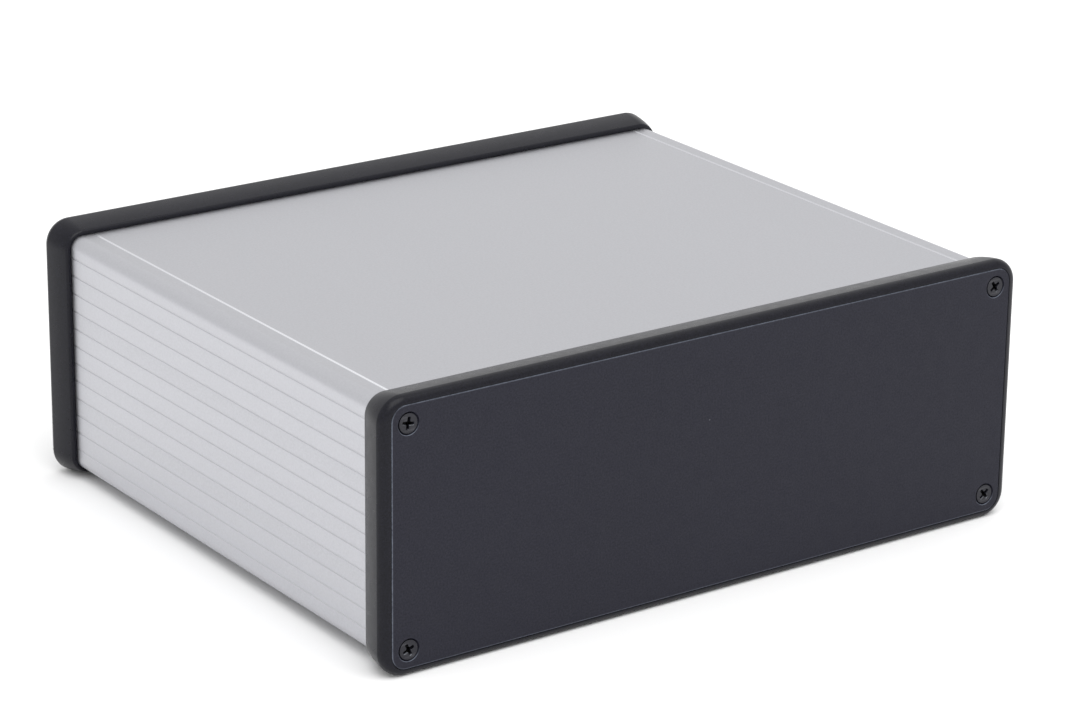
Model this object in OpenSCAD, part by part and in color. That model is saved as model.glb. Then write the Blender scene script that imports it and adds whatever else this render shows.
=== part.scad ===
// Extruded aluminium instrument enclosure: a U-shaped body extrusion with a
// slide-in top cover, closed at each end by a moulded bezel, a flat end panel
// and four countersunk cross-head screws.
// Millimetres. X is the width, Y the depth (front at -Y), Z is up.
// Origin: centre of the footprint, on the surface the bezels stand on.

/* [Overall] */
// Width over the bezels
bezel_w = 200; // [150:1:260]
// Height over the bezels
bezel_h = 72.8; // [60:0.1:110]
// Length of the body extrusion and of its cover
body_len = 160; // [100:5:260]

/* [Body extrusion] */
// How far the body sits inside the bezel at the sides
side_inset = 3; // [2.6:0.1:4]
// How far the body sits inside the bezel at the top and the bottom
top_inset = 2.9; // [2.5:0.1:4]
// Outer corner radius of the extrusion
body_r = 3.5; // [2:0.1:5]
// Side wall thickness
wall = 1.8; // [1.5:0.1:3]
// Floor thickness
floor_t = 2; // [1.5:0.1:3]
// Number of decorative grooves on each side
groove_n = 12; // [0:1:12]
// Pitch of the side grooves
groove_pitch = 5; // [3:0.1:5.2]
// Height of the lowest groove above the resting surface
groove_z0 = 9.3; // [9:0.05:12]
// Mouth width of a side groove
groove_w = 0.5; // [0.4:0.05:0.8]
// Depth of a side groove
groove_d = 0.15; // [0.1:0.05:0.5]
// Width of the fixed rim beside the cover, on each side of the top
rim_w = 7; // [6.8:0.1:8]
// Number of card-guide slots on each inner side wall
guide_n = 4; // [1:1:4]
// Width of a card-guide slot, for a 1.6 mm board
guide_gap = 1.8; // [1.7:0.1:2.4]
// Height of the lowest card guide above the floor
guide_z0 = 9; // [8:1:12]
// Spacing of the card guides
guide_pitch = 12.5; // [8:0.5:13]

/* [Cover] */
// Thickness of the slide-in cover
cover_t = 2; // [1.6:0.1:2.4]
// Thickness of the tongue that runs in the body's slot
tongue_t = 1; // [0.8:0.1:1.2]
// Visible gap between the cover and the rim
seam = 0.05; // [0.05:0.05:0.3]

/* [Bezels] */
// Outer corner radius at the widest line of the bezel
bezel_r = 7; // [5:0.5:10]
// Distance from the front lip back to the widest line
crest_y = 2.4; // [1.5:0.1:3]
// Flat ring at the widest line, which the enclosure stands on
land = 1; // [0.8:0.1:1.5]
// Full depth of a bezel, lip to skirt edge
bezel_d = 10.4; // [8:0.1:12]
// Radius of the rounded outer band behind the flat ring
band_r = 30; // [30:1:80]
// Lean of the band where it starts, in degrees
band_lean = 7; // [2:0.1:7]
// Width of the rounded front edge at the sides
front_side = 2.6; // [2:0.05:3.5]
// Width of the rounded front edge at the top and the bottom
front_top = 1.85; // [1.5:0.05:2.5]
// Flat lip around the panel
lip = 0.12; // [0.1:0.02:0.5]
// Depth of the panel face below the lip
recess = 0; // [0:0.1:1]
// Thickness of the ledge between the panel and the extrusion
ledge_t = 2.5; // [1.5:0.1:3]

/* [Panels and screws] */
// Thickness of an end panel
panel_t = 2; // [1.8:0.1:2.5]
// Gap between a panel and its recess
panel_gap = 0.15; // [0.1:0.05:0.4]
// Screw centre, in from the side of the bezel
screw_x = 7.7; // [7.5:0.1:8]
// Screw centre, in from the top or the bottom of the bezel
screw_z = 7; // [6.9:0.1:7.2]
// Screw thread diameter
screw_d = 3; // [2.5:0.1:3]
// Screw head diameter
head_d = 5.2; // [5:0.1:5.3]
// Diameter of the mouth of a screw hole in the panel
sink_d = 6; // [6:0.1:6.4]
// Depth of the straight mouth of a screw hole, before its cone
mouth_t = 0.35; // [0.3:0.05:0.4]
// Screw length from the face of the head
screw_len = 12; // [8:1:16]

/* [Hidden] */
$fn = 64;
e = 0.01;

body_w = bezel_w - 2 * side_inset;
body_z0 = top_inset;
body_z1 = bezel_h - top_inset;
body_h = body_z1 - body_z0;
end_stack = recess + panel_t + ledge_t;    // lip to the end of the extrusion
depth = body_len + 2 * end_stack;          // overall, lip to lip
front_y = -depth / 2;
sx = bezel_w / 2 - screw_x;                // screw centres
sz0 = screw_z;
sz1 = bezel_h - screw_z;
rec_w = bezel_w - 2 * (front_side + lip);  // seat for the panel
rec_h = bezel_h - 2 * (front_top + lip);
rec_r = bezel_r - front_side - lip;
rim_x = body_w / 2 - rim_w;                // inner edge of the fixed rim
tongue_z = body_z1 - cover_t;              // underside of cover and tongue
slot_z0 = tongue_z - 0.1;
slot_z1 = tongue_z + tongue_t + 0.1;
slot_x = rim_x + 1.2;
boss_d = 6.8;
rib_t = 1.2;
rib_l = 2.6;

// Rounded rectangle, centred in X, from z0 to z1, in the X-Z plane of a profile
module rrect(w, z0, z1, r) {
  translate([-w / 2, z0 + r]) square([w, z1 - z0 - 2 * r]);
  translate([-w / 2 + r, z0]) square([w - 2 * r, z1 - z0]);
  for (x = [-w / 2 + r, w / 2 - r], z = [z0 + r, z1 - r])
    translate([x, z]) circle(r = r);
}

// Turns an X-Z profile into a bar running along Y from y0 to y1
module along_y(y0, y1) {
  translate([0, y1, 0]) rotate([90, 0, 0]) linear_extrude(height = y1 - y0) children();
}

// The four screw centres
module at_screws() {
  for (x = [-sx, sx], z = [sz0, sz1]) translate([x, z]) children();
}

// Section of the body: floor, two grooved walls, two rims with the cover's
// slots, four screw channels and the card guides
module body_section() {
  difference() {
    union() {
      difference() {
        rrect(body_w, body_z0, body_z1, body_r);
        // the hollow, open at the top between the rims
        translate([-body_w / 2 + wall, body_z0 + floor_t])
          square([body_w - 2 * wall, tongue_z - 1.4 - body_z0 - floor_t]);
        translate([-rim_x, body_z0 + floor_t]) square([2 * rim_x, body_h]);
      }
      // screw bosses, filled out to the corners of the section
      intersection() {
        rrect(body_w, body_z0, body_z1, body_r);
        for (s = [-1, 1], z = [sz0, sz1]) translate([s * sx, z]) {
          circle(d = boss_d);
          translate([s * boss_d / 2, 0]) square([boss_d, boss_d], center = true);
        }
      }
      // shelf that carries the cover's edge
      for (s = [-1, 1])
        translate([s * (rim_x + 1.6), slot_z0 - 0.7]) square([5.2, 1.4], center = true);
      // card guides
      for (s = [-1, 1], i = [0 : guide_n - 1], k = [-1, 1])
        translate([s * (body_w / 2 - wall - rib_l / 2 + e),
                   body_z0 + floor_t + guide_z0 + i * guide_pitch + k * (guide_gap + rib_t) / 2])
          square([rib_l + 2 * e, rib_t], center = true);
    }
    // slot for the cover's tongue
    for (s = [-1, 1])
      translate([s > 0 ? rim_x - 3 : -slot_x, slot_z0]) square([slot_x - rim_x + 3, slot_z1 - slot_z0]);
    // broken edge along the seam
    for (s = [-1, 1])
      translate([s * rim_x, body_z1]) rotate(45) square(0.4, center = true);
    // screw channels
    at_screws() circle(d = screw_d);
    // side grooves
    for (s = [-1, 1], i = [0 : 1 : groove_n - 1])
      translate([s * body_w / 2, groove_z0 + i * groove_pitch]) scale([s, 1])
        polygon([[0.5, -groove_w / 2], [0, -groove_w / 2], [-groove_d, -0.1],
                 [-groove_d, 0.1], [0, groove_w / 2], [0.5, groove_w / 2]]);
  }
}

module body_extrusion() {
  color([0.76, 0.77, 0.79]) along_y(-body_len / 2, body_len / 2) body_section();
}

// Cover: a flat plate whose edges are stepped down to a tongue
module slide_in_cover() {
  color([0.77, 0.77, 0.79]) along_y(-body_len / 2, body_len / 2)
    difference() {
      union() {
        translate([-rim_x + seam, tongue_z]) square([2 * (rim_x - seam), cover_t]);
        translate([-slot_x + 0.2, tongue_z]) square([2 * (slot_x - 0.2), tongue_t]);
      }
      for (s = [-1, 1])
        translate([s * (rim_x - seam), body_z1]) rotate(45) square(0.4, center = true);
    }
}

// Thin slice of the bezel's outside, dx and dz in from its widest line
module slice(dx, dz, y) {
  r = max(bezel_r - max(dx, dz), 0.5);
  along_y(y, y + e)
    rrect(bezel_w - 2 * dx, dz, bezel_h - dz, r);
}

function band_in(y) =
  let (s = (y - crest_y - land) / band_r + sin(band_lean))
  band_r * (cos(band_lean) - cos(asin(s)));
function edge_in(t) = t * t + 0.2 * t * (1 - t);
function edge_y(t) = crest_y * ((1 - t) * (1 - t) + 0.2 * t * (1 - t));

// Front bezel with its lip at y = 0: rounded ring, seat for the panel, ledge
// between panel and extrusion, and a skirt over the end of the extrusion
module bezel_at_origin() {
  difference() {
    hull() {
      slice(0, 0, crest_y);
      for (i = [0 : 5])
        let (y = crest_y + land + (bezel_d - 0.3 - crest_y - land) * i / 5) slice(band_in(y), band_in(y), y);
      slice(band_in(bezel_d) + 0.25, band_in(bezel_d) + 0.25, bezel_d - e);
      for (t = [0.2 : 0.2 : 1]) slice(front_side * edge_in(t), front_top * edge_in(t), edge_y(t));
    }
    // seat for the panel
    along_y(-1, recess + panel_t)
      rrect(rec_w, front_top + lip, bezel_h - front_top - lip, rec_r);
    // skirt over the extrusion
    along_y(end_stack, bezel_d + 1)
      rrect(body_w + 0.2, body_z0 - 0.1, body_z1 + 0.1, body_r + 0.1);
    // opening through the ledge, keeping the screw corners
    along_y(0, end_stack + 1)
      difference() {
        rrect(body_w - 5.6, body_z0 + 3, body_z1 - 3, 2);
        at_screws() circle(r = 5);
      }
    // clearance holes
    for (x = [-sx, sx], z = [sz0, sz1])
      translate([x, -1, z]) rotate([-90, 0, 0]) cylinder(d = screw_d + 0.4, h = end_stack + 2);
  }
}

module front_bezel() {
  color([0.16, 0.16, 0.18]) translate([0, front_y, 0]) bezel_at_origin();
}

module rear_bezel() {
  color([0.16, 0.16, 0.18]) mirror([0, 1, 0]) translate([0, front_y, 0]) bezel_at_origin();
}

// Flat end panel with four countersunk holes
module panel_at_origin() {
  g = panel_gap;
  difference() {
    along_y(recess, recess + panel_t)
      rrect(rec_w - 2 * g, front_top + lip + g, bezel_h - front_top - lip - g, rec_r - g);
    for (x = [-sx, sx], z = [sz0, sz1]) translate([x, recess, z]) rotate([-90, 0, 0]) {
      translate([0, 0, -1]) cylinder(d = screw_d + 0.4, h = panel_t + 2);
      translate([0, 0, mouth_t]) cylinder(d1 = sink_d, d2 = screw_d + 0.4, h = (sink_d - screw_d - 0.4) / 2);
      translate([0, 0, -1]) cylinder(d = sink_d, h = 1 + mouth_t + e);
    }
  }
}

module front_panel() {
  color([0.21, 0.21, 0.24]) translate([0, front_y, 0]) panel_at_origin();
}

module rear_panel() {
  color([0.21, 0.21, 0.24]) mirror([0, 1, 0]) translate([0, front_y, 0]) panel_at_origin();
}

// Countersunk cross-head screw: face of the head at the origin, shank along +Z.
// The head seats on the panel's cone; turn is the angle of the cross.
rim_t = 0.6;
head_sink = mouth_t + (sink_d - head_d) / 2 - rim_t - 0.03;   // face of the head below the panel
module screw(turn) {
  shank_d = screw_d - 0.08;
  difference() {
    union() {
      cylinder(d = head_d, h = rim_t);
      translate([0, 0, rim_t]) cylinder(d1 = head_d, d2 = shank_d, h = (head_d - shank_d) / 2);
      cylinder(d = shank_d, h = screw_len - 0.8);
      translate([0, 0, screw_len - 0.8]) cylinder(d1 = shank_d, d2 = shank_d - 1.2, h = 0.8);
    }
    rotate(turn) translate([0, 0, -1]) {
      linear_extrude(height = 2.1) { square([3.1, 0.7], center = true); square([0.7, 3.1], center = true); }
      cylinder(d = 1.6, h = 2.5);
    }
  }
}

// side: -1 left, 1 right; up: 0 bottom, 1 top; end: -1 front, 1 rear
module placed_screw(side, up, end, turn) {
  color([0.2, 0.2, 0.22])
    translate([side * sx, end * (depth / 2 - recess - head_sink), up ? sz1 : sz0])
      rotate([end * 90, 0, 0]) screw(turn);
}

module front_screw_top_left() { placed_screw(-1, 1, -1, 11); }
module front_screw_top_right() { placed_screw(1, 1, -1, 56); }
module front_screw_bottom_left() { placed_screw(-1, 0, -1, 65); }
module front_screw_bottom_right() { placed_screw(1, 0, -1, 48); }
module rear_screw_top_left() { placed_screw(-1, 1, 1, 22); }
module rear_screw_top_right() { placed_screw(1, 1, 1, 63); }
module rear_screw_bottom_left() { placed_screw(-1, 0, 1, 80); }
module rear_screw_bottom_right() { placed_screw(1, 0, 1, 31); }

body_extrusion();
slide_in_cover();
front_bezel();
rear_bezel();
front_panel();
rear_panel();
front_screw_top_left();
front_screw_top_right();
front_screw_bottom_left();
front_screw_bottom_right();
rear_screw_top_left();
rear_screw_top_right();
rear_screw_bottom_left();
rear_screw_bottom_right();
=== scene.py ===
import math
import bpy
import bmesh
import numpy as np
from mathutils import Matrix, Vector
from mathutils.geometry import tessellate_polygon


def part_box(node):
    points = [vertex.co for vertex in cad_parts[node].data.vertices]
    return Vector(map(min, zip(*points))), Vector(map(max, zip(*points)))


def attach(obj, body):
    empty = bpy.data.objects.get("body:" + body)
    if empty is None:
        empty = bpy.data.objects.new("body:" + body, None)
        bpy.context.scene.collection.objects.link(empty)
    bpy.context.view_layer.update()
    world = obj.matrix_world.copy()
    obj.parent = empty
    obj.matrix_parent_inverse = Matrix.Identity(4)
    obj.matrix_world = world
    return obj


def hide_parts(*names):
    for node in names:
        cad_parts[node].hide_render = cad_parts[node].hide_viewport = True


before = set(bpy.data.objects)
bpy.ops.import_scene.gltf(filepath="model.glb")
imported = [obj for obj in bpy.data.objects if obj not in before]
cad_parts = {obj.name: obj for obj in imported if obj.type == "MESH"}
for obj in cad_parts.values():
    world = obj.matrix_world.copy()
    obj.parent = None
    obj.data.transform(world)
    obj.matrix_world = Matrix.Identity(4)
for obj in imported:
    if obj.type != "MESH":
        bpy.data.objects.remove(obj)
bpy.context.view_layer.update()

MM = 0.001

# ---------------------------------------------------------------- sizes, mm
(_lo, _hi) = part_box("front_bezel")
W = (_hi.x - _lo.x) * 1000            # over the bezels
H = (_hi.z - _lo.z) * 1000
FRONT = _lo.y * 1000                  # lip plane of the front bezel
BD = (_hi.y - _lo.y) * 1000           # depth of a bezel
(_lo, _hi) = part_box("body_extrusion")
BW = (_hi.x - _lo.x) * 1000
BZ0, BZ1 = _lo.z * 1000, _hi.z * 1000
BY0, BY1 = _lo.y * 1000, _hi.y * 1000
RIM_X = BW / 2 - 7.0                  # inner edge of the rim beside the cover
BEZEL_R, CREST = 7.0, 2.4
FS, FT, LIP, PT, GAP = 2.6, 1.85, 0.12, 2.0, 0.15
STACK = BY0 - FRONT                   # lip to the end of the extrusion
SX, SZ0, SZ1 = W / 2 - 7.7, 7.0, H - 7.0
HEAD_D, SINK_D, SCREW_D, SCREW_LEN = 5.2, 6.0, 3.0, 12.0
MOUTH, RIM = 0.35, 0.6
HEAD_SINK = MOUTH + (SINK_D - HEAD_D) / 2 - RIM - 0.03
TURNS = {(-1, 1): 11, (1, 1): 56, (-1, 0): 65, (1, 0): 48}
REAR_TURNS = {(-1, 1): 22, (1, 1): 63, (-1, 0): 80, (1, 0): 31}


# ---------------------------------------------------------------- mesh helpers
class Build:
    """Collects loops of vertices in mm and the faces between them."""

    def __init__(self):
        self.v, self.f, self.w = [], [], []

    def loop(self, pts, wear=0.0):
        """The last argument is one number, or one for each point: how much painted highlight (above 0) or painted
        shade (below 0) goes there.
        """
        i = len(self.v)
        self.v.extend(tuple(p) for p in pts)
        self.w.extend(wear if isinstance(wear, (list, tuple)) else [wear] * len(pts))
        return list(range(i, i + len(pts)))

    def bridge(self, a, b):
        n = len(a)
        for i in range(n):
            j = (i + 1) % n
            self.f.append((a[i], a[j], b[j], b[i]))

    def cap(self, outer, holes=(), drop=1):
        """Flat face with holes; drop is the axis that the plane is square to."""
        rings = [outer, *holes]
        keep = [k for k in range(3) if k != drop]
        poly = [[Vector((self.v[i][keep[0]], self.v[i][keep[1]], 0)) for i in r] for r in rings]
        flat = [i for r in rings for i in r]
        for t in tessellate_polygon(poly):
            self.f.append(tuple(flat[k] for k in t))

    def object(self, name, sharp=38.0):
        me = bpy.data.meshes.new(name)
        bm = bmesh.new()
        # per-vertex painted highlight (above 0) and painted shade (below 0), read by the materials
        lay = bm.verts.layers.float.new("wear")
        vs = [bm.verts.new((x * MM, y * MM, z * MM)) for x, y, z in self.v]
        for v, w in zip(vs, self.w):
            v[lay] = w
        for f in self.f:
            if len(set(f)) > 2:
                try:
                    bm.faces.new([vs[i] for i in f])
                except ValueError:
                    pass
        bmesh.ops.remove_doubles(bm, verts=bm.verts, dist=2e-7)
        bmesh.ops.dissolve_degenerate(bm, dist=1e-8, edges=bm.edges)
        bmesh.ops.recalc_face_normals(bm, faces=bm.faces)
        bm.to_mesh(me)
        bm.free()
        weighted_normals(me, sharp)
        ob = bpy.data.objects.new(name, me)
        bpy.context.scene.collection.objects.link(ob)
        return ob


def weighted_normals(me, sharp):
    """Smooth shading in which broad flat faces stay flat and small fillets carry the turn."""
    n = len(me.polygons)
    me.polygons.foreach_set("use_smooth", [True] * n)
    nor = np.zeros(n * 3)
    me.polygons.foreach_get("normal", nor)
    nor = nor.reshape(-1, 3)
    area = np.zeros(n)
    me.polygons.foreach_get("area", area)
    nl = len(me.loops)
    lv = np.zeros(nl, np.int64)
    me.loops.foreach_get("vertex_index", lv)
    ls = np.zeros(n, np.int64)
    me.polygons.foreach_get("loop_total", ls)
    lf = np.repeat(np.arange(n), ls)
    at = [[] for _ in range(len(me.vertices))]
    for k in range(nl):
        at[lv[k]].append(k)
    out = nor[lf].copy()
    lim = math.cos(math.radians(sharp))
    for ks in at:
        f = lf[ks]
        nn = nor[f]
        near = (nn @ nn.T) > lim
        s = near @ (nn * area[f][:, None])
        ln = np.linalg.norm(s, axis=1, keepdims=True)
        ok = ln[:, 0] > 0
        out[np.array(ks)[ok]] = (s / np.maximum(ln, 1e-30))[ok]
    me.normals_split_custom_set([tuple(v) for v in out])


def rr(w, z0, z1, r, n=16):
    """Rounded rectangle in X and Z, the same number of points whatever its size."""
    r = max(r, 0.02)
    out = []
    for cx, cz, a0 in ((w / 2 - r, z1 - r, 0), (-w / 2 + r, z1 - r, 90),
                       (-w / 2 + r, z0 + r, 180), (w / 2 - r, z0 + r, 270)):
        for i in range(n + 1):
            a = math.radians(a0 + 90 * i / n)
            out.append((cx + r * math.cos(a), cz + r * math.sin(a)))
    return out


def eased(path, fillets, k=5):
    """A polyline of tuples of any length, with a smooth turn cut into each corner that has a fillet."""
    out = []
    P = [np.array(p, float) for p in path]
    for i, p in enumerate(P):
        d = fillets.get(i, 0)
        if not d or i in (0, len(P) - 1):
            out.append(tuple(p))
            continue
        a, b = P[i - 1] - p, P[i + 1] - p
        la, lb = np.linalg.norm(a[:3]), np.linalg.norm(b[:3])
        s, e = p + a / la * min(d, la * 0.45), p + b / lb * min(d, lb * 0.45)
        for j in range(k + 1):
            t = j / k
            out.append(tuple(s * (1 - t) ** 2 + 2 * p * t * (1 - t) + e * t * t))
    return out


def circle(cx, cz, r, n=48, a0=0.0):
    return [(cx + r * math.cos(a0 + 2 * math.pi * i / n), cz + r * math.sin(a0 + 2 * math.pi * i / n))
            for i in range(n)]


SCREWS = [(s * SX, z) for s in (-1, 1) for z in (SZ0, SZ1)]


# ---------------------------------------------------------------- bezels
def band(y):
    """Inset of the rounded band at a distance y from the lip."""
    rho, lean = 36.0, 0.10
    s = (y - CREST) / rho + math.sin(lean)
    return rho * (math.cos(lean) - math.cos(math.asin(s)))


def bezel(name, end):
    b = Build()

    def put(st):
        dx, dz, y, r = st
        return b.loop([(x, end * (-FRONT - y), z) for x, z in rr(W - 2 * dx, dz, H - dz, r)])

    path, fil = [], {}

    def add(p, f=0):
        if f:
            fil[len(path)] = f
        path.append(p)

    add((FS + LIP, FT + LIP, PT, BEZEL_R - FS - LIP))
    add((FS + LIP, FT + LIP, 0.0, BEZEL_R - FS - LIP), 0.05)
    add((FS, FT, 0.0, BEZEL_R - FS), 0.09)
    for i in range(15, 0, -1):
        t = i / 16
        e = t * t + 0.2 * t * (1 - t)
        y = CREST * ((1 - t) ** 2 + 0.2 * t * (1 - t))
        add((FS * e, FT * e, y, BEZEL_R - FS * e))
    add((0, 0, CREST, BEZEL_R), 0.16)
    roll, phi = 0.95, 18.0
    y0 = BD - roll * (1 - math.sin(math.radians(phi)))
    for i in range(1, 17):
        y = CREST + (y0 - CREST) * i / 16
        d = band(y)
        add((d, d, y, BEZEL_R - d))
    for i in range(1, 10):
        a = math.radians(phi + (90 - phi) * i / 9)
        d = band(y0) + roll * (math.cos(math.radians(phi)) - math.cos(a))
        add((d, d, BD - roll * (1 - math.sin(a)), BEZEL_R - d))
    add(((W - BW) / 2 - 0.1, BZ0 - 0.1, BD, 3.6), 0.12)
    add(((W - BW) / 2 - 0.1, BZ0 - 0.1, STACK, 3.6))
    rings = [put(s) for s in eased(path, fil)]
    for p, q in zip(rings, rings[1:]):
        b.bridge(p, q)
    # ledge between the panel and the extrusion, with its opening and screw holes
    hx, z0, z1, cr = (BW - 5.6) / 2, BZ0 + 3, BZ1 - 3, 5.0
    pts = []
    for sx, sz, a0, a1 in ((1, 1, 0, 1), (-1, 1, 1, 0), (-1, -1, 0, 1), (1, -1, 1, 0)):
        cx, cz = sx * SX, SZ1 if sz > 0 else SZ0
        ze = z1 if sz > 0 else z0
        # from the side edge to the top or bottom edge, round the screw
        A = math.atan2(-sz * math.sqrt(cr ** 2 - (hx - SX) ** 2), sx * (hx - SX))
        B = math.atan2(ze - cz, -sx * math.sqrt(cr ** 2 - (ze - cz) ** 2))
        if sx > 0:
            while B > A:
                B -= 2 * math.pi
        else:
            while B < A:
                B += 2 * math.pi
        if sz < 0:
            if sx > 0:
                while B < A:
                    B += 2 * math.pi
                while B - A > math.pi * 1.5:
                    B -= 2 * math.pi
            else:
                while B > A:
                    B -= 2 * math.pi
                while A - B > math.pi * 1.5:
                    B += 2 * math.pi
        arc = [(cx + cr * math.cos(A + (B - A) * i / 12), cz + cr * math.sin(A + (B - A) * i / 12))
               for i in range(13)]
        pts += arc if (a0 < a1) else arc[::-1]
    yf, yb = end * (-FRONT - PT), end * (-FRONT - STACK)
    of = b.loop([(x, yf, z) for x, z in pts])
    ob = b.loop([(x, yb, z) for x, z in pts])
    b.bridge(of, ob)
    hf, hb = [], []
    for x, z in SCREWS:
        c = circle(x, z, (SCREW_D + 0.4) / 2)
        hf.append(b.loop([(u, yf, v) for u, v in c]))
        hb.append(b.loop([(u, yb, v) for u, v in c]))
        b.bridge(hf[-1], hb[-1])
    b.cap(rings[0], [of, *hf])
    b.cap(rings[-1], [ob, *hb])
    return b.object(name, 42)


# ---------------------------------------------------------------- panels
def panel(name, end):
    b = Build()
    e = 0.24
    w, z0, z1, r = W - 2 * (FS + LIP + GAP), FT + LIP + GAP, H - FT - LIP - GAP, BEZEL_R - FS - LIP - GAP
    y0 = -FRONT

    def put(d, y, wear=0.0):
        pts = rr(w - 2 * d, z0 + d, z1 - d, r - d)
        mid = (z0 + z1) / 2
        ws = []
        for x, z in pts:
            # painted highlight: full along the left edge, weaker along the top and bottom, none near the right edge,
            # as the light falls
            side = max(0.0, 1 - (w / 2 - abs(x)) / 1.5) if x < 0 else 0.0
            flat = max(0.0, 1 - (z1 - z) / 1.5) * 0.75 + max(0.0, 1 - (z - z0) / 1.5) * 0.55
            right = max(0.0, 1 - (w / 2 - abs(x)) / 3.0) if x > 0 else 0.0
            ws.append(wear * max(side, flat * (1 - right)))
        return b.loop([(x, end * (y0 - y), z) for x, z in pts], ws)

    edge = eased([(e, 0.0, 0), (0.0, 0.0, 0), (0.0, e, 0)], {1: e}, 5)
    rings = [put(edge[0][0] + 0.10, 0.0, 0.0), put(edge[0][0], 0.0, 0.75)]
    rings += [put(d, y, 1.0) for d, y, _ in edge[1:-1]] + [put(edge[-1][0], edge[-1][1], 0.3)]
    rings += [put(0, PT - 0.08), put(0.08, PT)]
    for p, q in zip(rings, rings[1:]):
        b.bridge(p, q)
    R = SINK_D / 2
    hole = eased([(R + 0.14, 0.0, 0), (R, 0.0, 0), (R, MOUTH, 0),
                  (R - 1.3, MOUTH + 1.3, 0), (R - 1.3, PT, 0)], {1: 0.14, 2: 0.04, 3: 0.05}, 4)
    fronts, backs = [], []
    for sx, sz in SCREWS:
        rs = []
        for k, (rad, y, _) in enumerate(hole):
            c = circle(sx, sz, rad, 64)
            # painted highlight on the lower half of each countersink mouth, the part that faces up
            ws = [max(0.0, (sz - v) / rad) * (1.3 if 1 <= k <= 5 else 0.0) for u, v in c]
            rs.append(b.loop([(u, end * (y0 - y), v) for u, v in c], ws))
        for p, q in zip(rs, rs[1:]):
            b.bridge(p, q)
        fronts.append(rs[0])
        backs.append(rs[-1])
    b.cap(rings[0], fronts)
    b.cap(rings[-1], backs)
    return b.object(name, 40)


# ---------------------------------------------------------------- screws
def cross(L, w, ro, ri, turn, z, k=4):
    """A cross outline with rounded arm ends and inner corners, at depth z."""
    pts = []
    for q in range(4):
        a = math.radians(90 * q)
        arm = []
        for c, r, t0, inner in (((w, w), ri, 0, True), ((L, w), ro, 0, False), ((L, -w), ro, 0, False)):
            if inner:
                cx, cy = c[0] + r, c[1] + r
                for i in range(k + 1):
                    t = math.radians(180 + 90 * i / k)
                    arm.append((cx + r * math.cos(t), cy + r * math.sin(t)))
            else:
                cx, cy = c[0] - r, c[1] - math.copysign(r, c[1])
                s = math.copysign(1, c[1])
                for i in range(k + 1):
                    t = math.radians(90 - 90 * i / k) if s > 0 else math.radians(-90 * i / k)
                    arm.append((cx + r * math.cos(t), cy + r * math.sin(t)))
        pts += [(x * math.cos(a) - y * math.sin(a), x * math.sin(a) + y * math.cos(a)) for x, y in
                [*arm[0:0], *arm]]
    # arms run clockwise inside each quarter, so the whole outline is sorted by angle of travel
    out = []
    for q in range(4):
        seg = pts[q * 3 * (k + 1):(q + 1) * 3 * (k + 1)]
        out = seg + out
    t = math.radians(turn)
    return [(x * math.cos(t) - y * math.sin(t), x * math.sin(t) + y * math.cos(t), z) for x, y in out]


def screw(name, sx, sz, end, turn):
    b = Build()
    N = 48
    shank = (SCREW_D - 0.08) / 2
    hr = HEAD_D / 2
    prof = eased([(hr - 0.22, 0.0, 0), (hr, 0.0, 0), (hr, RIM, 0), (shank, RIM + hr - shank, 0), (shank, 1.87, 0)],
                 {1: 0.13, 2: 0.03, 3: 0.1}, 4)
    prof = [(r, z) for r, z, _ in prof]

    def ring(r, z):
        return b.loop([(x, y, z) for x, y in circle(0, 0, r, N)])

    rings = [ring(r, z) for r, z in prof]
    # cut thread, 0.5 mm pitch
    pitch, z, z_end = 0.5, 1.9, SCREW_LEN - 0.75
    while z < z_end:
        fade = min(1, (z - 1.85) / 0.6, (z_end - z) / 0.3 + 0.15)
        pts = []
        for i in range(N):
            a = 2 * math.pi * i / N
            ph = (z / pitch - i / N) % 1.0
            tri = abs(2 * ph - 1)
            pts.append(((shank - 0.27 * fade * (1 - tri)) * math.cos(a),
                        (shank - 0.27 * fade * (1 - tri)) * math.sin(a), z))
        rings.append(b.loop(pts))
        z += pitch / 7
    rings.append(ring(shank - 0.2, SCREW_LEN - 0.7))
    rings.append(ring(shank - 0.58, SCREW_LEN))
    for p, q in zip(rings, rings[1:]):
        b.bridge(p, q)
    b.cap(rings[-1], drop=2)
    lv = [(1.74, 0.48, 0.24, 0.36, 0.0), (1.69, 0.445, 0.23, 0.35, 0.02), (1.66, 0.42, 0.22, 0.34, 0.07),
          (1.63, 0.40, 0.21, 0.33, 0.16), (1.40, 0.36, 0.18, 0.28, 1.0), (0.95, 0.30, 0.13, 0.18, 1.7)]
    cr = []
    for k, (L, w, ro, ri, zz) in enumerate(lv):
        pts = cross(L, w, ro, ri, turn, zz)
        # deeper cross levels get -1: painted shade, near black, at the bottom of the recess
        ws = [-1.0 if k > 3 else 0.0] * len(pts)
        # upper recess walls that face up get a painted glint of bright metal
        if k in (1, 2, 3):
            for i in range(len(pts)):
                (x0, y0, _), (x1, y1, _) = pts[i - 1], pts[(i + 1) % len(pts)]
                ln = math.hypot(x1 - x0, y1 - y0) or 1
                # how far the wall here looks up; local +y is down
                ws[i] = max(0.0, abs(x1 - x0) / ln - 0.35) * (1.0 if pts[i][1] > 0.1 else 0.0)
        cr.append(b.loop(pts, ws))
    for p, q in zip(cr, cr[1:]):
        b.bridge(p, q)
    b.cap(rings[0], [cr[0]], drop=2)
    b.cap(cr[-1], drop=2)
    # local +Z runs into the body
    y0 = end * (-FRONT - HEAD_SINK)
    b.v = [(sx + x, y0 - end * z, sz + end * y) for x, y, z in b.v]
    return b.object(name, 40)


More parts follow.
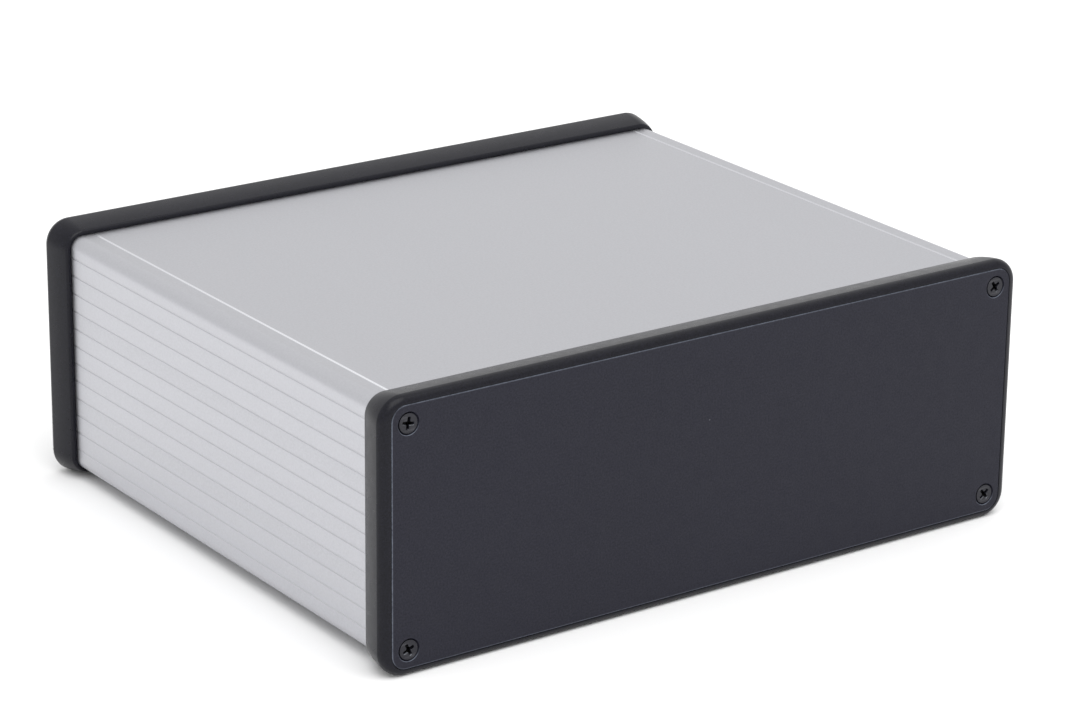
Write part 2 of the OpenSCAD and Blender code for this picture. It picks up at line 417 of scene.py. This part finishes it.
# ---------------------------------------------------------------- extrusions, from the CAD section
def section(node):
    """Outline and holes of a straight extrusion, read off the node's own end face."""
    bm = bmesh.new()
    bm.from_mesh(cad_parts[node].data)
    bmesh.ops.remove_doubles(bm, verts=bm.verts, dist=1e-6)
    y0 = min(v.co.y for v in bm.verts)
    end = {f for f in bm.faces if all(abs(v.co.y - y0) < 1e-6 for v in f.verts)}
    nxt = {}
    for f in end:
        for l in f.loops:
            other = [g for g in l.edge.link_faces if g is not f]
            if not other or other[0] not in end:
                nxt[l.vert.index] = l.link_loop_next.vert.index
    co = {v.index: (v.co.x * 1000, v.co.z * 1000) for v in bm.verts}
    bm.free()
    loops = []
    while nxt:
        s = min(nxt)
        i, ring = s, []
        while i in nxt:
            ring.append(co[i])
            i = nxt.pop(i)
        loops.append(ring)
    def area(r):
        return sum(a[0] * c[1] - c[0] * a[1] for a, c in zip(r, r[1:] + r[:1])) / 2
    loops.sort(key=lambda r: -abs(area(r)))
    return loops


def tidy(ring):
    """Drops points in the middle of a straight run."""
    out = []
    n = len(ring)
    for i in range(n):
        a, p, c = (np.array(ring[(i + k) % n]) for k in (-1, 0, 1))
        u, v = p - a, c - p
        if abs(u[0] * v[1] - u[1] * v[0]) > 1e-4 * np.linalg.norm(u) * np.linalg.norm(v) or np.dot(u, v) < 0:
            out.append(tuple(p))
    return out


def soften(ring, radius, k=4, least=20.0):
    """A small fillet at each real corner of an outline."""
    out = []
    n = len(ring)
    for i in range(n):
        a, p, c = (np.array(ring[(i + j) % n]) for j in (-1, 0, 1))
        u, v = a - p, c - p
        lu, lv = np.linalg.norm(u), np.linalg.norm(v)
        turn = 180 - math.degrees(math.acos(max(-1, min(1, np.dot(u, v) / lu / lv))))
        if turn < least:
            out.append(tuple(p))
            continue
        d = min(radius * math.tan(math.radians(turn / 2)), 0.42 * lu, 0.42 * lv)
        s, e = p + u / lu * d, p + v / lv * d
        for j in range(k + 1):
            t = j / k
            out.append(tuple(s * (1 - t) ** 2 + 2 * p * t * (1 - t) + e * t * t))
    return out


def extrusion(name, node, radius):
    (lo, hi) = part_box(node)
    y0, y1 = lo.y * 1000, hi.y * 1000
    b = Build()
    ends = []
    rings = [soften(tidy(r), radius) if i == 0 else r for i, r in enumerate(section(node))]

    def seam(x, z):
        return z > BZ1 - 0.34 and abs(abs(x) - RIM_X) < 0.36

    # a point just outside each painted highlight strip along the cover seam keeps it from spreading over the face
    for k, r in enumerate(rings):
        out = []
        for i, p in enumerate(r):
            q = r[(i + 1) % len(r)]
            out.append(p)
            d = math.hypot(q[0] - p[0], q[1] - p[1])
            if seam(*p) != seam(*q) and d > 0.5:
                t = 0.1 / d if seam(*p) else 1 - 0.1 / d
                out.append((p[0] + (q[0] - p[0]) * t, p[1] + (q[1] - p[1]) * t))
                if seam(*out[-1]):
                    t = 0.3 / d if seam(*p) else 1 - 0.3 / d
                    out[-1] = (p[0] + (q[0] - p[0]) * t, p[1] + (q[1] - p[1]) * t)
        rings[k] = out
    # painted highlight along the rim beside the cover: full on the left at the front, 0.6 at the rear, 0.38 on the
    # right
    for y, near in ((y0, 1.0), (y1, 0.6)):
        ends.append([b.loop([(x, y, z) for x, z in r],
                            [(near if x < 0 else 0.38) if seam(x, z) else 0.0 for x, z in r]) for r in rings])
    for p, q in zip(*ends):
        b.bridge(p, q)
    for e in ends:
        b.cap(e[0], e[1:])
    return b.object(name, 33)


# ---------------------------------------------------------------- materials
class Mat:
    """A small hand for writing node materials. Coordinates are the object's own, in mm."""

    def __init__(self, name):
        self.m = bpy.data.materials.new(name)
        self.m.use_nodes = True
        self.t = self.m.node_tree
        self.t.nodes.clear()
        self.out = self.t.nodes.new("ShaderNodeOutputMaterial")
        self.p = self.t.nodes.new("ShaderNodeBsdfPrincipled")
        self.t.links.new(self.p.outputs[0], self.out.inputs[0])
        tc = self.t.nodes.new("ShaderNodeTexCoord")
        mp = self.t.nodes.new("ShaderNodeMapping")
        mp.inputs["Scale"].default_value = (1000, 1000, 1000)
        self.t.links.new(tc.outputs["Object"], mp.inputs["Vector"])
        self.co = mp.outputs[0]

    def set(self, **kw):
        for k, v in kw.items():
            self.p.inputs[k.replace("_", " ")].default_value = v

    def link(self, a, name):
        self.t.links.new(a, self.p.inputs[name])

    def node(self, kind, **inputs):
        n = self.t.nodes.new(kind)
        for k, v in inputs.items():
            s = n.inputs[k.replace("_", " ")] if not k.startswith("i") or not k[1:].isdigit() else n.inputs[int(k[1:])]
            if hasattr(v, "is_linked") or isinstance(v, bpy.types.NodeSocket):
                self.t.links.new(v, s)
            else:
                s.default_value = v
        return n

    def scaled(self, sx, sy, sz, off=(0, 0, 0)):
        mp = self.t.nodes.new("ShaderNodeMapping")
        mp.inputs["Scale"].default_value = (sx, sy, sz)
        mp.inputs["Location"].default_value = off
        self.t.links.new(self.co, mp.inputs["Vector"])
        return mp.outputs[0]

    def noise(self, scale, detail=4.0, rough=0.55, co=None, lac=2.0):
        n = self.t.nodes.new("ShaderNodeTexNoise")
        n.inputs["Scale"].default_value = scale
        n.inputs["Detail"].default_value = detail
        n.inputs["Roughness"].default_value = rough
        n.inputs["Lacunarity"].default_value = lac
        self.t.links.new(co or self.co, n.inputs["Vector"])
        return n.outputs["Fac"]

    def ramp(self, fac, stops, interp="LINEAR"):
        n = self.t.nodes.new("ShaderNodeValToRGB")
        n.color_ramp.interpolation = interp
        els = n.color_ramp.elements
        while len(els) < len(stops):
            els.new(0.5)
        for e, (pos, c) in zip(els, stops):
            e.position = pos
            e.color = (c, c, c, 1) if isinstance(c, (int, float)) else (*c, 1)
        self.t.links.new(fac, n.inputs["Fac"])
        return n.outputs["Color"]

    def math(self, op, a, b=None, c=None, clamp=False):
        n = self.t.nodes.new("ShaderNodeMath")
        n.operation = op
        n.use_clamp = clamp
        for i, v in enumerate((a, b, c)):
            if v is None:
                continue
            if isinstance(v, (int, float)):
                n.inputs[i].default_value = v
            else:
                self.t.links.new(v, n.inputs[i])
        return n.outputs[0]

    def mix(self, fac, a, b):
        n = self.t.nodes.new("ShaderNodeMix")
        n.data_type = "RGBA"
        for s, v in ((n.inputs[0], fac), (n.inputs[6], a), (n.inputs[7], b)):
            if isinstance(v, (int, float)):
                s.default_value = v
            elif isinstance(v, tuple):
                s.default_value = (*v, 1)
            else:
                self.t.links.new(v, s)
        return n.outputs[2]

    def bump(self, height, strength, distance, normal=None):
        n = self.t.nodes.new("ShaderNodeBump")
        n.inputs["Strength"].default_value = strength
        n.inputs["Distance"].default_value = distance
        self.t.links.new(height, n.inputs["Height"])
        if normal is not None:
            self.t.links.new(normal, n.inputs["Normal"])
        return n.outputs[0]

    def wear(self):
        # reads the per-vertex painted highlight (above 0) and painted shade (below 0)
        n = self.t.nodes.new("ShaderNodeAttribute")
        n.attribute_name = "wear"
        return n.outputs["Fac"]

    def edges(self, lo, hi):
        g = self.t.nodes.new("ShaderNodeNewGeometry")
        return self.ramp(g.outputs["Pointiness"], [(lo, 0.0), (hi, 1.0)])

    def spots(self, scale, size, seed=0.0, keep=0.5):
        """Sparse round specks: 1 inside one, 0 outside."""
        co = self.scaled(1, 1, 1, (seed, seed * 0.7, -seed))
        v = self.t.nodes.new("ShaderNodeTexVoronoi")
        v.inputs["Scale"].default_value = scale
        v.inputs["Randomness"].default_value = 1.0
        self.t.links.new(co, v.inputs["Vector"])
        near = self.ramp(v.outputs["Distance"], [(size * 0.5, 1.0), (size, 0.0)])
        sep = self.t.nodes.new("ShaderNodeSeparateColor")
        self.t.links.new(v.outputs["Color"], sep.inputs[0])
        pick = self.math("GREATER_THAN", sep.outputs[0], 1 - keep)
        return self.math("MULTIPLY", near, pick)


def aluminium(name, tint, seed):
    m = Mat(name)
    off = (seed * 13.7, seed * 5.1, seed * 9.3)
    m.set(Metallic=1.0, IOR=1.5, Anisotropic=0.15)
    broad = m.noise(0.012, 3, 0.5, m.scaled(1, 0.35, 1, off))
    streak = m.noise(1.6, 5, 0.65, m.scaled(1, 0.012, 1, off))
    fine = m.noise(5.5, 3, 0.6, m.scaled(1, 0.7, 1, off))
    base = m.mix(m.ramp(broad, [(0.35, 0.0), (0.68, 1.0)]), tuple(c * 0.975 for c in tint), tint)
    base = m.mix(m.math("MULTIPLY", m.ramp(streak, [(0.42, 0.0), (0.75, 1.0)]), 0.10), base, tuple(c * 0.86 for c in tint))
    base = m.mix(m.math("MULTIPLY", m.ramp(fine, [(0.30, 0.0), (0.75, 1.0)]), 0.10), base, tuple(min(1, c * 1.12) for c in tint))
    # painted highlight: lighter metal on convex edges, from pointiness
    base = m.mix(m.math("MULTIPLY", m.edges(0.52, 0.60), 0.35), base, tuple(min(1, c * 1.25) for c in tint))
    grit = m.ramp(m.noise(1.9, 2, 0.7, m.scaled(1, 0.8, 1, off)), [(0.28, 0.0), (0.72, 1.0)])
    base = m.mix(m.math("MULTIPLY", grit, 0.5), base, tuple(c * 1.26 for c in tint))
    # painted highlight along the cover seam, lighter metal from the per-vertex values
    base = m.mix(m.math("MULTIPLY", m.wear(), 1.0, clamp=True), base, (0.84, 0.85, 0.88))
    m.link(base, "Base Color")
    r = m.ramp(fine, [(0.2, 0.33), (0.8, 0.43)])
    m.link(r, "Roughness")
    n1 = m.bump(m.noise(7.0, 2, 0.6, m.scaled(1, 0.6, 1, off)), 0.10, 0.00002)
    n2 = m.bump(streak, 0.05, 0.00003, n1)
    m.link(n2, "Normal")
    return m.m


def bezel_plastic(name):
    m = Mat(name)
    m.set(Metallic=0.0, IOR=1.5)
    m.p.inputs["Specular IOR Level"].default_value = 0.20
    tex = m.noise(3.2, 3, 0.6)
    broad = m.noise(0.03, 3, 0.5)
    base = m.mix(m.ramp(broad, [(0.3, 0.0), (0.7, 1.0)]), (0.0040, 0.0040, 0.0085), (0.0058, 0.0058, 0.0115))
    grit = m.ramp(m.noise(2.1, 3, 0.7), [(0.30, 0.0), (0.70, 1.0)])
    base = m.mix(grit, m.mix(0.65, base, (0.0, 0.0, 0.0)), m.mix(0.5, base, (0.0130, 0.0130, 0.0200)))
    # painted highlight: lighter plastic on convex edges and crests, from pointiness
    base = m.mix(m.math("MULTIPLY", m.edges(0.51, 0.58), 0.10), base, (0.03, 0.03, 0.035))
    dust = m.spots(0.11, 0.045, 3.0, 0.22)
    base = m.mix(m.math("MULTIPLY", dust, 0.35), base, (0.30, 0.31, 0.33))
    m.link(base, "Base Color")
    m.link(m.ramp(m.noise(0.4, 4, 0.6), [(0.25, 0.25), (0.75, 0.34)]), "Roughness")
    m.link(m.bump(tex, 0.12, 0.00004), "Normal")
    return m.m


def panel_finish(name):
    m = Mat(name)
    m.set(Metallic=0.0, IOR=1.5)
    m.p.inputs["Specular IOR Level"].default_value = 0.27
    grain = m.noise(4.0, 4, 0.65)
    broad = m.noise(0.02, 3, 0.55)
    base = m.mix(m.ramp(broad, [(0.3, 0.0), (0.7, 1.0)]), (0.0058, 0.0062, 0.0155), (0.0080, 0.0084, 0.0190))
    base = m.mix(m.math("MULTIPLY", m.ramp(grain, [(0.35, 0.0), (0.75, 1.0)]), 0.25), base, (0.015, 0.015, 0.025))
    grit = m.ramp(m.noise(2.0, 3, 0.7), [(0.30, 0.0), (0.70, 1.0)])
    base = m.mix(grit, m.mix(0.70, base, (0.0, 0.0, 0.004)), m.mix(0.70, base, (0.0190, 0.0190, 0.0310)))
    dust = m.spots(0.07, 0.022, 1.0, 0.40)
    base = m.mix(m.math("MULTIPLY", dust, 0.55), base, (0.25, 0.26, 0.30))
    # painted highlight along the panel's left, top and bottom edges and the lower half of each countersink mouth,
    # broken up by noise
    highlight_breakup = m.ramp(m.noise(0.9, 5, 0.7), [(0.30, 0.35), (0.62, 1.0)])
    painted_highlight_mask = m.math("MULTIPLY", m.wear(), highlight_breakup, clamp=True)
    base = m.mix(painted_highlight_mask, base, (0.125, 0.140, 0.175))
    m.link(base, "Base Color")
    m.link(m.ramp(m.noise(0.25, 4, 0.6), [(0.25, 0.50), (0.75, 0.60)]), "Roughness")
    m.link(m.bump(grain, 0.10, 0.00004), "Normal")
    return m.m


def screw_finish(name):
    m = Mat(name)
    m.set(IOR=1.5)
    m.p.inputs["Specular IOR Level"].default_value = 0.36
    n = m.noise(2.5, 4, 0.6)
    base = m.mix(m.ramp(n, [(0.35, 0.0), (0.7, 1.0)]), (0.0075, 0.0075, 0.0125), (0.0125, 0.0125, 0.0185))
    # painted highlight: lighter finish on convex rims, from pointiness
    base = m.mix(m.math("MULTIPLY", m.edges(0.53, 0.62), 0.25), base, (0.08, 0.08, 0.09))
    # negative values: painted shade, near black, deep in the recess
    painted_recess_shade = m.math("MULTIPLY", m.wear(), -1.0, clamp=True)
    base = m.mix(painted_recess_shade, base, (0.0006, 0.0006, 0.0008))
    # positive values: painted glint, bright metallic, on the recess walls that face up, broken up by noise
    painted_highlight_mask = m.math("MULTIPLY", m.wear(), m.ramp(m.noise(1.1, 3, 0.6), [(0.40, 0.0), (0.58, 1.0)]), clamp=True)
    base = m.mix(painted_highlight_mask, base, (0.42, 0.44, 0.48))
    m.link(base, "Base Color")
    m.link(painted_highlight_mask, "Metallic")
    m.link(m.ramp(m.noise(1.3, 4, 0.6), [(0.25, 0.30), (0.75, 0.46)]), "Roughness")
    m.link(m.bump(n, 0.12, 0.00005), "Normal")
    return m.m


# ---------------------------------------------------------------- pieces
MATS = {
    "body_aluminium": aluminium("body_anodised", (0.451, 0.453, 0.478), 1.0),
    "cover_aluminium": aluminium("cover_anodised", (0.451, 0.453, 0.478), 2.0),
    "bezel_plastic": bezel_plastic("bezel_black"),
    "panel_black": panel_finish("panel_matte_black"),
    "screw_black": screw_finish("screw_black_oxide"),
}


def done(ob, node, slot):
    ob.data.materials.append(MATS[slot])
    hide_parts(node)
    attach(ob, "root")
    return ob


done(extrusion("body_shell", "body_extrusion", 0.16), "body_extrusion", "body_aluminium")
done(extrusion("cover_plate", "slide_in_cover", 0.10), "slide_in_cover", "cover_aluminium")
done(bezel("front_bezel_ring", -1), "front_bezel", "bezel_plastic")
done(bezel("rear_bezel_ring", 1), "rear_bezel", "bezel_plastic")
done(panel("front_panel_sheet", -1), "front_panel", "panel_black")
done(panel("rear_panel_sheet", 1), "rear_panel", "panel_black")
for end, word, turns in ((-1, "front", TURNS), (1, "rear", REAR_TURNS)):
    for (s, up), turn in turns.items():
        node = f"{word}_screw_{'top' if up else 'bottom'}_{'left' if s < 0 else 'right'}"
        done(screw(node + "_detail", s * SX, SZ1 if up else SZ0, end, turn), node, "screw_black")

# ---------------------------------------------------------------- floor, light, camera
fm = Mat("floor_white")
fm.set(Roughness=0.9)
fm.p.inputs["Specular IOR Level"].default_value = 0.0
fm.link(fm.ramp(fm.noise(0.004, 2, 0.5), [(0.3, (0.895, 0.895, 0.895)), (0.7, (0.90, 0.90, 0.90))]), "Base Color")
bpy.ops.mesh.primitive_plane_add(size=24, location=(0, 0, 0))
floor = bpy.context.object
floor.name = "floor"
floor.data.materials.append(fm.m)

world = bpy.data.worlds.new("studio")
bpy.context.scene.world = world
world.use_nodes = True
wt = world.node_tree
wt.nodes.clear()
wo = wt.nodes.new("ShaderNodeOutputWorld")
wb = wt.nodes.new("ShaderNodeBackground")
wb.inputs["Color"].default_value = (1.0, 1.0, 1.0, 1)
wt.links.new(wb.outputs[0], wo.inputs[0])


def area(name, loc, target, size, power, color=(1, 1, 1), size_y=None):
    l = bpy.data.lights.new(name, "AREA")
    l.energy, l.color, l.size = power, color, size
    if size_y:
        l.shape, l.size_y = "RECTANGLE", size_y
    o = bpy.data.objects.new(name, l)
    bpy.context.scene.collection.objects.link(o)
    o.location = loc
    o.rotation_euler = (Vector(target) - Vector(loc)).to_track_quat("-Z", "Y").to_euler()
    return o


area("overhead", (-0.25, -0.90, 2.2), (0, 0, 0), 2.4, 41)

cam = bpy.data.cameras.new("camera")
cam.sensor_width = 36.0
cam.lens = 128.72
cam.clip_start, cam.clip_end = 0.05, 60
co = bpy.data.objects.new("camera", cam)
bpy.context.scene.collection.objects.link(co)
right = Vector((0.8193116, -0.5732556, 0.0103170))
down = Vector((-0.1862921, -0.2831851, -0.9407983))
fwd = Vector((0.5422395, 0.7688850, -0.3388099))
M = Matrix((right, -down, -fwd)).transposed().to_4x4()
M.translation = Vector((-0.56164, -0.80388, 0.39148))
co.matrix_world = M
sc = bpy.context.scene
sc.camera = co
sc.view_settings.view_transform = "Standard"
sc.view_settings.look = "None"
